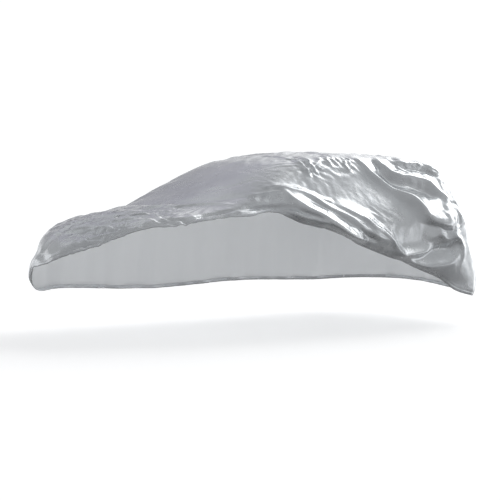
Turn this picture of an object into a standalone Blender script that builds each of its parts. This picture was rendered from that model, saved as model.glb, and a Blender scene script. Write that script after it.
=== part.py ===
"""Silver car cover, lying over a compact five-door hatchback with its near side drawn up.

The cover is one thin sheet. It lies on the bonnet, windscreen and roof, hangs down the far side
and the tail, and on the near side its hem climbs from the tail corner to the door mirror and then
runs forward over the bonnet to the far corner of the nose.

Frame: X runs to the tail, Y to the far side, Z up. All tables below are in metres, with X counted
from the front axle and heights counted from the ground. The finished sheet is then moved so that
the origin lies on its underside, on the centre line of the roof.
"""

import math
from collections import namedtuple

import bmesh
import bpy
import numpy as np

# ---------------------------------------------------------------- driving dimensions
THICKNESS = 0.0025        # coated cloth with its backing
HALF_WIDTH = 0.875        # plan, at the belt line
NOSE_X = -0.75            # plan at the belt line
TAIL_X = 3.17
NOSE_ROUND = 0.75         # length over which the plan rounds off at each end
TAIL_ROUND = 0.50
NOSE_POWER = 2.3          # superellipse powers of the two rounded ends
TAIL_POWER = 2.6
SPINE_FRONT = -0.20       # the sections fan out from the two ends of this centre line
SPINE_REAR = 2.72
SPINE_SOFTNESS = 0.02
ROOF_CROWN = 0.10         # fall of the top per square metre of distance from the centre line
SIDE_SLOPE = 1.55         # rise of the window sides per metre inwards
EDGE_ROUND = 0.10         # rounding where the top turns down into the hanging side
EDGE_DROP = 0.80          # share of a full quarter round
ROOF_REST_X = 1.45        # where the origin is, under the roof
SETTLE_PASSES = 30

# ---------------------------------------------------------------- grid
Band = namedtuple("Band", "start end columns far_step")
# Metres round the near half of the plan, from the middle of the nose to the middle of the tail.
# The far half is plainer and has one column for every far_step near ones.
COLUMN_BANDS = (
    Band(0.00, 1.00, 10, 1),
    Band(1.00, 1.80, 6, 3),
    Band(1.80, 4.50, 54, 6),
    Band(4.50, None, 7, 1),
)
ROWS = 26                 # from the centre line down to the hem
Crowd = namedtuple("Crowd", "share density")
ROW_CROWDS = (            # how close the rows stand, from the centre line to the hem
    Crowd(0.00, 0.7),
    Crowd(0.22, 0.7),
    Crowd(0.34, 1.4),
    Crowd(0.60, 1.2),
    Crowd(0.90, 1.0),
    Crowd(1.00, 0.8),
)
DETAIL = 6                # the form is worked out this much finer than the solid
NARROWEST_FOLD = 0.045    # what the solid's grid can still follow

# ---------------------------------------------------------------- form
Station = namedtuple("Station", "x height")
CENTRE_LINE = (
    Station(-0.80, 0.73),  # nose
    Station(-0.60, 0.835),
    Station(-0.25, 0.98),  # bonnet
    Station(0.10, 1.05),
    Station(0.34, 1.10),   # foot of the windscreen
    Station(0.70, 1.27),
    Station(1.05, 1.425),  # top of the windscreen
    Station(1.40, 1.49),
    Station(1.90, 1.505),  # roof
    Station(2.40, 1.485),
    Station(2.85, 1.425),
    Station(3.20, 1.35),   # above the tail window
)
Softness = namedtuple("Softness", "x blend")
FAR_SOFTNESS = 0.035       # how roundly the top turns into the far side ...
NEAR_SOFTNESS = (          # ... and into the near side, where the cloth is drawn tight
    Softness(-0.80, 0.035),
    Softness(0.20, 0.050),
    Softness(0.70, 0.100),  # over the windscreen pillar
    Softness(1.10, 0.095),
    Softness(1.50, 0.045),
    Softness(1.80, 0.035),
    Softness(3.20, 0.035),
)
BELT_LINE = (
    Station(-0.80, 0.80),
    Station(0.30, 0.93),
    Station(1.50, 0.95),
    Station(3.20, 1.00),
)

Flare = namedtuple("Flare", "height out")
NOSE_FLARE = (             # how far the bumper pushes the cloth out past the plan
    Flare(0.00, 0.10),
    Flare(0.35, 0.14),
    Flare(0.50, 0.18),
    Flare(0.60, 0.15),
    Flare(0.70, 0.08),
    Flare(0.80, 0.03),
    Flare(0.90, 0.00),
    Flare(1.60, 0.00),
)
TAIL_FLARE = (
    Flare(0.00, 0.13),
    Flare(0.30, 0.165),
    Flare(0.50, 0.18),
    Flare(0.70, 0.12),
    Flare(0.90, 0.04),
    Flare(1.05, 0.00),
    Flare(1.60, 0.00),
)

Hem = namedtuple("Hem", "round height")
HEM_LINE = (               # metres round the plan from the middle of the nose, near side first
    Hem(0.16, 0.755),
    Hem(0.41, 0.835),       # across the bonnet
    Hem(0.93, 0.94),
    Hem(1.43, 1.005),
    Hem(1.71, 1.028),
    Hem(1.88, 1.03),      # arches over the place of the door mirror
    Hem(1.96, 1.05),
    Hem(2.06, 1.065),
    Hem(2.15, 1.05),
    Hem(2.23, 1.00),
    Hem(2.30, 0.96),
    Hem(2.46, 0.91),
    Hem(2.60, 0.87),
    Hem(2.83, 0.785),      # falls back along the doors
    Hem(3.10, 0.70),
    Hem(3.40, 0.60),
    Hem(3.69, 0.50),       # over the rear wheel
    Hem(3.93, 0.42),
    Hem(4.10, 0.33),
    Hem(4.30, 0.275),      # near tail corner
    Hem(4.80, 0.29),
    Hem(5.30, 0.33),       # middle of the tail
    Hem(6.20, 0.31),
    Hem(7.20, 0.34),       # far side
    Hem(8.20, 0.31),
    Hem(9.10, 0.35),
    Hem(9.55, 0.37),
    Hem(9.66, 0.42),
    Hem(9.76, 0.54),       # climbs round the far corner of the nose
    Hem(9.91, 0.59),
    Hem(10.09, 0.64),
)

# ---------------------------------------------------------------- folds
# Each fold is a ridge (height above 0) or a trough (below 0) along a path seen from one face:
# "side" points are x and height, "top" points x and y, "tail" points y and height. It falls off
# by "above" on the left of its path and by "under" on the right, walking from its first point.
Fold = namedtuple("Fold", "name face height above under path")
FOLDS = (
    # near side, from the mirror to the rear wheel
    Fold("sweep_low", "side", 0.086, 0.092, 0.150,
         ((0.93, 1.24), (0.97, 1.15), (1.04, 1.075), (1.12, 1.032), (1.21, 0.992), (1.30, 0.946),
          (1.39, 0.894), (1.49, 0.840), (1.58, 0.805), (1.70, 0.765))),
    Fold("sweep_low_valley", "side", -0.022, 0.026, 0.030,
         ((1.12, 1.145), (1.24, 1.082), (1.38, 1.012), (1.52, 0.928), (1.71, 0.828), (1.83, 0.774))),
    Fold("sweep_middle", "side", 0.034, 0.026, 0.050,
         ((0.86, 1.245), (0.99, 1.219), (1.14, 1.183), (1.20, 1.160), (1.31, 1.080), (1.47, 1.005),
          (1.61, 0.926), (1.77, 0.850), (1.94, 0.780), (2.05, 0.700))),
    Fold("sweep_shade", "side", 0.022, 0.050, 0.110,
         ((1.50, 0.96), (1.66, 0.88), (1.84, 0.80), (2.02, 0.71))),
    Fold("sweep_upper", "side", 0.052, 0.056, 0.030,
         ((1.40, 1.10), (1.50, 1.050), (1.61, 0.997), (1.67, 0.971), (1.78, 0.896), (1.87, 0.857),
          (1.94, 0.815), (2.01, 0.752), (2.05, 0.69))),
    Fold("hook", "side", 0.062, 0.046, 0.030,
         ((1.99, 0.78), (2.03, 0.712), (2.08, 0.676), (2.15, 0.672), (2.23, 0.674), (2.32, 0.682),
          (2.48, 0.715))),
    # near side, upper rear quarter
    Fold("long_ridge", "side", 0.036, 0.036, 0.060,
         ((1.86, 1.475), (1.92, 1.420), (1.95, 1.355), (2.02, 1.295), (2.10, 1.237), (2.18, 1.188),
          (2.27, 1.130), (2.35, 1.064), (2.42, 1.000))),
    Fold("white_belly", "side", 0.066, 0.140, 0.065,
         ((2.14, 1.205), (2.27, 1.110), (2.35, 1.038), (2.42, 0.975), (2.51, 0.935), (2.62, 0.900),
          (2.72, 0.895), (2.80, 0.900))),
    Fold("long_valley", "side", -0.018, 0.055, 0.220,
         ((1.84, 1.42), (1.92, 1.31), (2.04, 1.21), (2.16, 1.12), (2.30, 1.02))),
    Fold("upper_ridge", "side", 0.040, 0.040, 0.050,
         ((2.12, 1.480), (2.13, 1.414), (2.19, 1.345), (2.26, 1.320), (2.37, 1.304), (2.47, 1.288),
          (2.55, 1.266), (2.60, 1.236), (2.65, 1.195), (2.71, 1.150))),
    Fold("upper_valley", "side", -0.036, 0.046, 0.080,
         ((2.02, 1.390), (2.09, 1.332), (2.14, 1.292), (2.21, 1.262), (2.31, 1.238), (2.42, 1.212),
          (2.51, 1.185), (2.60, 1.150), (2.70, 1.120))),
    Fold("roof_corner", "side", 0.022, 0.030, 0.030,
         ((2.22, 1.46), (2.38, 1.42), (2.52, 1.41), (2.66, 1.39), (2.80, 1.34))),
    # near side, rear corner
    Fold("corner_shadow", "side", -0.020, 0.022, 0.026,
         ((2.30, 0.925), (2.45, 0.900), (2.60, 0.880), (2.80, 0.92))),
    Fold("corner_ridge", "side", 0.032, 0.050, 0.050,
         ((2.34, 0.83), (2.43, 0.806), (2.52, 0.824), (2.61, 0.790), (2.71, 0.796), (2.80, 0.73))),
    Fold("corner_valley", "side", -0.024, 0.030, 0.045,
         ((2.30, 0.650), (2.42, 0.675), (2.56, 0.700), (2.76, 0.690))),
    Fold("tail_curve", "side", 0.054, 0.042, 0.130,
         ((1.98, 0.665), (2.09, 0.618), (2.18, 0.587), (2.30, 0.565), (2.42, 0.559), (2.53, 0.567),
          (2.62, 0.577), (2.71, 0.607), (2.82, 0.68))),
    Fold("tail_tuck", "side", -0.060, 0.160, 0.120,
         ((2.05, 0.50), (2.35, 0.40), (2.65, 0.30), (3.00, 0.24))),
    # near side, along the hem
    Fold("mirror_crease", "side", -0.034, 0.014, 0.040,
         ((0.46, 1.065), (0.57, 1.080), (0.68, 1.083), (0.81, 1.083), (0.90, 1.078), (0.96, 1.062),
          (1.03, 1.030), (1.15, 0.985), (1.24, 0.950))),
    # near roof edge
    Fold("edge_zigzag_b", "side", 0.020, 0.018, 0.018,
         ((1.43, 1.47), (1.37, 1.425), (1.35, 1.385), (1.30, 1.365), (1.28, 1.31))),
    Fold("edge_zigzag_f", "side", 0.016, 0.018, 0.020, ((1.74, 1.46), (1.72, 1.40), (1.73, 1.35))),
    # screen
    Fold("screen_foot", "top", -0.018, 0.070, 0.070,
         ((0.30, 0.62), (0.30, 0.28), (0.34, -0.05), (0.46, -0.34), (0.66, -0.66))),
    Fold("screen_foot_ridge", "top", 0.018, 0.028, 0.030,
         ((0.00, 0.10), (0.08, 0.03), (0.15, -0.06), (0.19, -0.22), (0.27, -0.27), (0.33, -0.31),
          (0.40, -0.40), (0.48, -0.58))),
    # bonnet
    Fold("bonnet_far_groove", "top", -0.014, 0.022, 0.030,
         ((-0.70, 0.38), (-0.66, 0.32), (-0.61, 0.31), (-0.55, 0.34), (-0.48, 0.35), (-0.38, 0.37))),
    Fold("bonnet_far_ridge", "top", 0.020, 0.026, 0.034,
         ((-0.48, 0.40), (-0.40, 0.37), (-0.33, 0.31), (-0.26, 0.24), (-0.18, 0.20))),
    Fold("bonnet_long_groove", "top", -0.020, 0.030, 0.026,
         ((-0.40, 0.36), (-0.31, 0.29), (-0.24, 0.26), (-0.19, 0.15), (-0.14, 0.05), (-0.05, 0.00),
          (0.06, -0.16))),
    Fold("bonnet_cross_ridge", "top", 0.024, 0.030, 0.030,
         ((-0.62, 0.30), (-0.54, 0.24), (-0.49, 0.10), (-0.47, -0.02), (-0.44, -0.13), (-0.43, -0.26))),
    Fold("bonnet_dent_c", "top", -0.020, 0.018, 0.018, ((-0.67, -0.14), (-0.63, -0.22), (-0.59, -0.29))),
    Fold("bonnet_dent_d", "top", -0.018, 0.020, 0.018, ((-0.73, -0.04), (-0.69, -0.12), (-0.65, -0.20))),
    Fold("bonnet_dent_e", "top", -0.018, 0.020, 0.018, ((-0.49, -0.24), (-0.42, -0.30), (-0.35, -0.33))),
    Fold("bonnet_wave_a", "top", 0.018, 0.026, 0.026,
         ((-0.40, -0.06), (-0.32, -0.13), (-0.26, -0.24), (-0.22, -0.42), (-0.18, -0.56))),
    Fold("bonnet_wave_b", "top", 0.016, 0.026, 0.026,
         ((-0.28, 0.00), (-0.17, -0.11), (-0.10, -0.18), (-0.08, -0.34), (-0.09, -0.50))),
    Fold("bonnet_gather", "top", -0.022, 0.018, 0.018,
         ((-0.13, -0.27), (-0.08, -0.38), (-0.08, -0.50), (0.00, -0.56), (0.03, -0.66), (0.12, -0.74))),
    Fold("bonnet_hem_groove", "top", -0.026, 0.016, 0.045,
         ((-0.72, 0.04), (-0.67, -0.14), (-0.58, -0.29), (-0.43, -0.41), (-0.23, -0.52), (-0.07, -0.57),
          (0.06, -0.60), (0.21, -0.60), (0.30, -0.62), (0.43, -0.67), (0.57, -0.73))),
    Fold("far_bonnet_pleat", "top", -0.014, 0.045, 0.045, ((-0.30, 0.60), (0.15, 0.70), (0.60, 0.74))),
    # tail
    Fold("tail_pleat_near", "tail", 0.020, 0.050, 0.050, ((-0.52, 1.05), (-0.38, 0.80), (-0.34, 0.50))),
    Fold("tail_pleat_middle", "tail", -0.018, 0.070, 0.070, ((-0.05, 1.10), (0.04, 0.85), (0.02, 0.55))),
    Fold("tail_pleat_far", "tail", 0.020, 0.055, 0.055, ((0.50, 1.08), (0.40, 0.80), (0.44, 0.50))),
)
FOLD_SHARPNESS = 1.5       # power of the fold's section: 2 is a soft bell, 1 a sharp crest
FOLD_FADE = 0.25           # share of the fold's length over which each end fades in
FOLD_DROOP = 0.20          # share of a ridge's height by which it hangs over
HEM_CALM = 0.06            # folds flatten out this far above the hem

# Soft upright pleats in the plainly hanging cloth of the tail and the far side
Pleat = namedtuple("Pleat", "wavelength depth shift")
PLEATS = (
    Pleat(0.46, 0.010, 0.4),
    Pleat(0.31, 0.006, 2.1),
    Pleat(0.19, 0.004, 4.0),
)
PLEAT_TOP = 0.95          # height at which the pleats fade out
PLEAT_START = 4.70        # metres round the plan, between the near tail corner ...
PLEAT_END = 9.60          # ... and the far corner of the nose
PLEAT_FADE = 0.40

SILVER = (0.58, 0.60, 0.62, 1.0)
SILVER_ROUGHNESS = 0.38
SILVER_METALLIC = 0.75


def smooth_curve(rows, at):
    """Smooth interpolation of a two-column table."""
    table = np.array(rows, dtype=float)
    xs, ys = table[:, 0], table[:, 1]
    slopes = np.gradient(ys, xs)
    k = np.clip(np.searchsorted(xs, at) - 1, 0, len(xs) - 2)
    span = xs[k + 1] - xs[k]
    t = np.clip((at - xs[k]) / span, 0.0, 1.0)
    rise = (2 * t**3 - 3 * t**2 + 1) * ys[k] + (3 * t**2 - 2 * t**3) * ys[k + 1]
    lean = (t**3 - 2 * t**2 + t) * slopes[k] + (t**3 - t**2) * slopes[k + 1]
    return rise + span * lean


def smooth_step(low, high, at):
    t = np.clip((at - low) / (high - low), 0.0, 1.0)
    return t * t * (3 - 2 * t)


def soft_minimum(a, b, softness):
    return 0.5 * (a + b - np.sqrt((a - b) ** 2 + 4 * softness**2))


def at_lengths(points, lengths):
    """Points of a polyline at the given lengths along it."""
    steps = np.linalg.norm(np.diff(points, axis=0), axis=1)
    run = np.concatenate([[0.0], np.cumsum(steps)])
    return np.stack([np.interp(lengths, run, column) for column in points.T], axis=-1)


def total_length(points):
    return float(np.linalg.norm(np.diff(points, axis=0), axis=1).sum())


def near_plan():
    """Plan outline of the near half, from the middle of the nose to the middle of the tail."""
    angle = np.linspace(0.0, math.pi / 2, 400)

    def rounded_end(end_x, length, power, direction):
        x = end_x + direction * length * (1 - np.cos(angle) ** (2 / power))
        y = -HALF_WIDTH * np.sin(angle) ** (2 / power)
        return np.stack([x, y], axis=-1)

    nose = rounded_end(NOSE_X, NOSE_ROUND, NOSE_POWER, 1)
    tail = rounded_end(TAIL_X, TAIL_ROUND, TAIL_POWER, -1)
    return np.concatenate([nose, tail[::-1]])


def near_columns(half_length):
    """Where the columns of the near half stand, in metres round the plan."""
    stops = []
    for band in COLUMN_BANDS:
        end = half_length if band.end is None else band.end
        stops.append(np.linspace(band.start, end, band.columns * DETAIL, endpoint=False))
    stops.append([half_length])
    return np.concatenate(stops)


def spine_point(x):
    """Foot of a section on the centre line, held softly between the ends of the spine."""
    ahead = x - SPINE_FRONT
    x = SPINE_FRONT + 0.5 * (math.sqrt(ahead**2 + SPINE_SOFTNESS) + ahead)
    behind = SPINE_REAR - x
    return SPINE_REAR - 0.5 * (math.sqrt(behind**2 + SPINE_SOFTNESS) + behind)


def row_shares():
    """Where the rows lie, as shares of the way from the centre line to the hem."""
    share = np.linspace(0.0, 1.0, 400)
    density = np.interp(share, *np.array(ROW_CROWDS).T)
    run = np.concatenate([[0.0], np.cumsum(0.5 * (density[1:] + density[:-1]))])
    return np.interp(np.linspace(0.0, run[-1], ROWS * DETAIL + 1), run, share)


def section(edge, outward, hem_height):
    """One section of the sheet, from the centre line over the edge and down to the hem."""
    foot = np.array([spine_point(edge[0]), 0.0])
    share = np.linspace(0.0, 1.0, 160)
    plan = foot + (edge - foot) * share[:, None]
    inwards = (1 - share) * np.dot(edge - foot, outward)

    top = smooth_curve(CENTRE_LINE, plan[:, 0]) - ROOF_CROWN * plan[:, 1] ** 2
    side = smooth_curve(BELT_LINE, plan[:, 0]) + SIDE_SLOPE * inwards
    softness = FAR_SOFTNESS
    if edge[1] < 0:
        drawn = smooth_curve(NEAR_SOFTNESS, plan[:, 0]) - FAR_SOFTNESS
        softness = FAR_SOFTNESS + drawn * smooth_step(0.1, 0.6, share)
    height = soft_minimum(top, side, softness)
    into_edge = np.clip(EDGE_ROUND - inwards, 0.0, EDGE_ROUND)
    height -= EDGE_DROP * (EDGE_ROUND - np.sqrt(EDGE_ROUND**2 - into_edge**2))
    over = np.column_stack([plan, height])

    fall = np.linspace(height[-1], min(hem_height, height[-1] - 0.02), 80)[1:]
    flare_rows = TAIL_FLARE if outward[0] > 0 else NOSE_FLARE
    flare = smooth_curve(flare_rows, fall) - smooth_curve(flare_rows, height[-1:])
    flare *= abs(outward[0]) ** 1.5
    hanging = np.column_stack([edge[0] + flare * outward[0], edge[1] + flare * outward[1], fall])

    whole = np.concatenate([over, hanging])
    kept = int(np.nonzero(whole[:, 2] >= hem_height)[0][-1])
    if kept + 1 < len(whole):
        above, below = whole[kept], whole[kept + 1]
        cut = (above[2] - hem_height) / (above[2] - below[2])
        whole = np.concatenate([whole[: kept + 1], [above + cut * (below - above)]])
    return at_lengths(whole, row_shares() * total_length(whole))


def draped_halves():
    """The near and the far half as grids of points: columns round the plan, rows to the hem."""
    plan = near_plan()
    half_length = total_length(plan)
    stops = near_columns(half_length)
    near_edge = at_lengths(plan, stops)
    along = np.gradient(near_edge, stops, axis=0)
    along /= np.linalg.norm(along, axis=1)[:, None]
    near_out = np.stack([along[:, 1], -along[:, 0]], axis=-1)

    girth = 2 * half_length
    hem_rows = [Hem(row.round + turn * girth, row.height) for turn in (-1, 0, 1) for row in HEM_LINE]
    halves = []
    for mirror, way_round in ((1, stops), (-1, girth - stops)):
        flip = np.array([1, mirror])
        hem = smooth_curve(hem_rows, way_round)
        columns = [
            section(edge * flip, out * flip, low) for edge, out, low in zip(near_edge, near_out, hem)
        ]
        halves.append(np.array(columns))
    return halves[0], halves[1], stops, girth


def closed_ring(near, far):
    """Both halves as one ring of columns, near side first."""
    return np.concatenate([near, far[-2:0:-1]])


def settled(ring, passes):
    """Evens the sheet out as its own weight does. The hem keeps its height, the crown its place."""
    hem_height = ring[:, -1, 2].copy()
    freedom = smooth_step(0.0, 0.25, np.linspace(0.0, 1.0, ring.shape[1]))[:, None]
    for _ in range(passes):
        round_mean = 0.5 * (np.roll(ring, 1, axis=0) + np.roll(ring, -1, axis=0))
        down_mean = 0.5 * (ring[:, 2:] + ring[:, :-2])
        eased = ring.copy()
        eased[:, 1:-1] = 0.5 * ring[:, 1:-1] + 0.25 * round_mean[:, 1:-1] + 0.25 * down_mean
        eased[:, -1] = 0.5 * ring[:, -1] + 0.5 * round_mean[:, -1]
        eased[:, -1, 2] = hem_height
        ring = ring + freedom * (eased - ring)
    return ring


def outward_normals(ring):
    round_step = np.roll(ring, -1, axis=0) - np.roll(ring, 1, axis=0)
    down_step = np.gradient(ring, axis=1)
    normal = np.cross(down_step, round_step)
    across = -np.arange(len(ring)) % len(ring)
    normal[:, 0] = normal[:, 1] + normal[across, 1]  # both halves share the centre line
    return normal / np.linalg.norm(normal, axis=2)[:, :, None]


def seen_from(ring, normal, face):
    """The sheet's points as seen from one face, and how squarely each one faces it."""
    if face == "side":
        near_half = ring[:, :, 1] < 0
        return ring[:, :, (0, 2)], near_half * (0.4 * normal[:, :, 2] - normal[:, :, 1])
    if face == "top":
        return ring[:, :, (0, 1)], normal[:, :, 2]
    return ring[:, :, (1, 2)], normal[:, :, 0]


def smooth_path(spots):
    """A smooth line of short pieces through a fold's points."""
    spots = np.array(spots)
    run = np.concatenate([[0.0], np.cumsum(np.linalg.norm(np.diff(spots, axis=0), axis=1))])
    at = np.linspace(0.0, run[-1], 16 * len(spots))
    return np.column_stack([smooth_curve(np.column_stack([run, axis]), at) for axis in spots.T])


def distance_to_line(points, line):
    """How far each point is from a line, left of it or right (minus), and how far along it."""
    nearest = np.full(len(points), np.inf)
    signed = np.zeros(len(points))
    along = np.zeros(len(points))
    pieces = len(line) - 1
    for k in range(pieces):
        step = line[k + 1] - line[k]
        gap = points - line[k]
        share = np.clip(gap @ step / (step @ step), 0.0, 1.0)
        away = np.linalg.norm(gap - share[:, None] * step, axis=1)
        closer = away < nearest
        left = step[0] * gap[:, 1] - step[1] * gap[:, 0] > 0
        nearest[closer] = away[closer]
        signed[closer] = np.where(left, away, -away)[closer]
        along[closer] = (k + share[closer]) / pieces
    return signed, along


def fold_lift(ring, normal, fold):
    """How far one fold lifts each point of the sheet.

    A fold too narrow for the grid is made wider and lower in the same measure."""
    flat, facing = seen_from(ring, normal, fold.face)
    line = smooth_path(fold.path)
    above = max(fold.above, NARROWEST_FOLD)
    under = max(fold.under, NARROWEST_FOLD)
    height = fold.height * (fold.above + fold.under) / (above + under)
    reach = 3 * max(above, under)
    close = np.all((flat > line.min(0) - reach) & (flat < line.max(0) + reach), axis=2)
    close &= facing > 0.05
    away, along = distance_to_line(flat[close], line)
    fade = smooth_step(-0.05, FOLD_FADE, along) * smooth_step(1.05, 1.0 - FOLD_FADE, along)
    lift = np.zeros(close.shape)
    share = np.where(away > 0, away / above, -away / under)
    section_shape = np.exp(-(share ** FOLD_SHARPNESS))
    lift[close] = height * fade * section_shape * smooth_step(0.05, 0.3, facing[close])
    return lift


def pleat_lift(ring, way_round):
    depth = smooth_step(PLEAT_TOP, PLEAT_TOP - 0.5, ring[:, :, 2])
    along = smooth_step(PLEAT_START, PLEAT_START + PLEAT_FADE, way_round)
    along *= smooth_step(PLEAT_END, PLEAT_END - PLEAT_FADE, way_round)
    wave = sum(p.depth * np.sin(2 * math.pi * way_round / p.wavelength + p.shift) for p in PLEATS)
    return depth * (along * wave)[:, None]


def folded_sheet():
    """The outer face of the sheet with its folds, as one ring of columns."""
    near, far, stops, girth = draped_halves()
    ring = settled(closed_ring(near, far), SETTLE_PASSES)
    way_round = np.concatenate([stops, girth - stops[-2:0:-1]])
    normal = outward_normals(ring)
    lift = pleat_lift(ring, way_round)
    droop = np.zeros(lift.shape)
    for fold in FOLDS:
        rise = fold_lift(ring, normal, fold)
        lift += rise
        if fold.face == "side":
            droop += FOLD_DROOP * np.maximum(rise, 0.0)
    calm = smooth_step(0.0, HEM_CALM, distance_above_hem(ring))
    ring = ring + (lift * (0.35 + 0.65 * calm))[:, :, None] * normal
    ring[:, :, 2] -= droop * calm
    return ring


def distance_above_hem(ring):
    steps = np.linalg.norm(np.diff(ring, axis=1), axis=2)
    above = np.zeros(ring.shape[:2])
    above[:, :-1] = np.cumsum(steps[:, ::-1], axis=1)[:, ::-1]
    return above


def far_marks():
    """The near columns that have a partner on the far side."""
    marks, first = [], 0
    for band in COLUMN_BANDS:
        marks += range(first, first + band.columns, band.far_step)
        first += band.columns
    return marks + [first]


def sheet_faces(marks):
    """Quads down every column gap, and triangles that join the far side to the centre line.

    Points are numbered column by column, near side first. A far column has no point of its own
    on the centre line: it uses the one of its partner."""
    near_count = marks[-1] + 1
    foot = list(range(near_count)) + marks[-2:0:-1]
    columns = len(foot)

    def point(column, row):
        return (foot[column] if row == 0 else column) * (ROWS + 1) + row

    faces = []
    for column in range(columns):
        after = (column + 1) % columns
        on_near_side = column < near_count - 1
        for row in range(0 if on_near_side else 1, ROWS):
            faces.append((point(column, row), point(column, row + 1),
                          point(after, row + 1), point(after, row)))
        if on_near_side:
            continue
        feet = [near * (ROWS + 1) for near in range(foot[column], foot[after] - 1, -1)]
        turn = len(feet) // 2
        for step, (this, following) in enumerate(zip(feet, feet[1:])):
            faces.append((this, point(column if step < turn else after, 1), following))
        faces.append((point(column, 1), point(after, 1), feet[turn]))
    return faces


def build_cover():
    ring = folded_sheet()
    normal = outward_normals(ring)
    marks = far_marks()
    near = [column * DETAIL for column in range(marks[-1] + 1)]
    far = [len(ring) - column * DETAIL for column in marks[-2:0:-1]]
    keep = near + far
    outer = ring[keep][:, ::DETAIL]
    inner = outer - THICKNESS * normal[keep][:, ::DETAIL]

    spine = inner[: len(near), 0]
    rest_height = np.interp(ROOF_REST_X, spine[:, 0], spine[:, 2])
    origin = np.array([ROOF_REST_X, 0.0, rest_height])

    faces = sheet_faces(marks)
    count = len(keep) * (ROWS + 1)
    inside = [tuple(index + count for index in reversed(face)) for face in faces]
    hem = []
    for column in range(len(keep)):
        a = column * (ROWS + 1) + ROWS
        b = ((column + 1) % len(keep)) * (ROWS + 1) + ROWS
        hem.append((b, a, a + count, b + count))

    mesh = bpy.data.meshes.new("cover")
    points = np.concatenate([outer.reshape(-1, 3), inner.reshape(-1, 3)]) - origin
    mesh.from_pydata(points.tolist(), [], faces + inside + hem)
    mesh.validate()
    clean(mesh)
    mesh.shade_smooth()
    cover = bpy.data.objects.new("cover", mesh)
    cover.data.materials.append(silver_cloth())
    bpy.context.scene.collection.objects.link(cover)
    return cover


def clean(mesh):
    """Drops the unused foot points of the far columns and points the faces outwards."""
    work = bmesh.new()
    work.from_mesh(mesh)
    bmesh.ops.delete(work, geom=[v for v in work.verts if not v.link_faces], context="VERTS")
    bmesh.ops.triangulate(work, faces=work.faces)
    bmesh.ops.recalc_face_normals(work, faces=work.faces)
    work.to_mesh(mesh)
    work.free()


def silver_cloth():
    material = bpy.data.materials.new("silver_cloth")
    material.use_nodes = True
    shader = material.node_tree.nodes["Principled BSDF"]
    shader.inputs["Base Color"].default_value = SILVER
    shader.inputs["Roughness"].default_value = SILVER_ROUGHNESS
    shader.inputs["Metallic"].default_value = SILVER_METALLIC
    return material


for old in list(bpy.data.objects):
    bpy.data.objects.remove(old, do_unlink=True)
build_cover()
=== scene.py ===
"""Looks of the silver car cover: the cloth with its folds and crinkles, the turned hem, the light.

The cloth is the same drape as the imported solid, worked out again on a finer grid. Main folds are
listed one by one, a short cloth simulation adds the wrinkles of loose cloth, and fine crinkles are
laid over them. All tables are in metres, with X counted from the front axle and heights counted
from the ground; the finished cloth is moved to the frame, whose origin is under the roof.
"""

import math
from collections import namedtuple

import bmesh
import bpy
import numpy as np
from mathutils import Matrix, Vector, noise


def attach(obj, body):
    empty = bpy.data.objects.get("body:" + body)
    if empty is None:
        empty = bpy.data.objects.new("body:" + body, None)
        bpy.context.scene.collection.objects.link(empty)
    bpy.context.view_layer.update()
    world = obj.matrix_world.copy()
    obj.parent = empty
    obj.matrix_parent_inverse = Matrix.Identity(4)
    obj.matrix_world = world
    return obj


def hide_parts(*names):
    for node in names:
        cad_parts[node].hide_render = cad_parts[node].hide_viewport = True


# ---------------------------------------------------------------- the drape
THICKNESS = 0.0025
HALF_WIDTH = 0.875
NOSE_X = -0.75
TAIL_X = 3.17
NOSE_ROUND = 0.75
TAIL_ROUND = 0.50
NOSE_POWER = 2.3
TAIL_POWER = 2.6
SPINE_FRONT = -0.20
SPINE_REAR = 2.72
SPINE_SOFTNESS = 0.02
ROOF_CROWN = 0.10
SIDE_SLOPE = 1.55
EDGE_ROUND = 0.10
EDGE_DROP = 0.80
ROOF_REST_X = 1.45
SETTLE_PASSES = 30

Band = namedtuple("Band", "start end columns")
COLUMN_BANDS = (           # metres round the near half of the plan
    Band(0.00, 1.00, 90),
    Band(1.00, 1.80, 72),
    Band(1.80, 4.50, 270),
    Band(4.50, None, 56),
)
FAR_STEP = 3               # the far half has one column for every three near ones
ROWS = 144
Crowd = namedtuple("Crowd", "share density")
ROW_CROWDS = (             # how close the rows stand, from the centre line to the hem
    Crowd(0.00, 0.6),
    Crowd(0.22, 0.6),
    Crowd(0.34, 1.5),
    Crowd(0.60, 1.2),
    Crowd(0.90, 1.0),
    Crowd(1.00, 0.8),
)

Station = namedtuple("Station", "x height")
CENTRE_LINE = (
    Station(-0.80, 0.73),
    Station(-0.60, 0.835),
    Station(-0.25, 0.98),
    Station(0.10, 1.05),
    Station(0.34, 1.10),
    Station(0.70, 1.27),
    Station(1.05, 1.425),
    Station(1.40, 1.49),
    Station(1.90, 1.505),
    Station(2.40, 1.485),
    Station(2.85, 1.425),
    Station(3.20, 1.35),
)
Softness = namedtuple("Softness", "x blend")
FAR_SOFTNESS = 0.035
NEAR_SOFTNESS = (          # how roundly the top turns into the near side
    Softness(-0.80, 0.035),
    Softness(0.20, 0.050),
    Softness(0.70, 0.100),
    Softness(1.10, 0.095),
    Softness(1.50, 0.045),
    Softness(1.80, 0.035),
    Softness(3.20, 0.035),
)
BELT_LINE = (
    Station(-0.80, 0.80),
    Station(0.30, 0.93),
    Station(1.50, 0.95),
    Station(3.20, 1.00),
)

Flare = namedtuple("Flare", "height out")
NOSE_FLARE = (
    Flare(0.00, 0.10),
    Flare(0.35, 0.14),
    Flare(0.50, 0.18),
    Flare(0.60, 0.15),
    Flare(0.70, 0.08),
    Flare(0.80, 0.03),
    Flare(0.90, 0.00),
    Flare(1.60, 0.00),
)
TAIL_FLARE = (
    Flare(0.00, 0.13),
    Flare(0.30, 0.165),
    Flare(0.50, 0.18),
    Flare(0.70, 0.12),
    Flare(0.90, 0.04),
    Flare(1.05, 0.00),
    Flare(1.60, 0.00),
)

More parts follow.
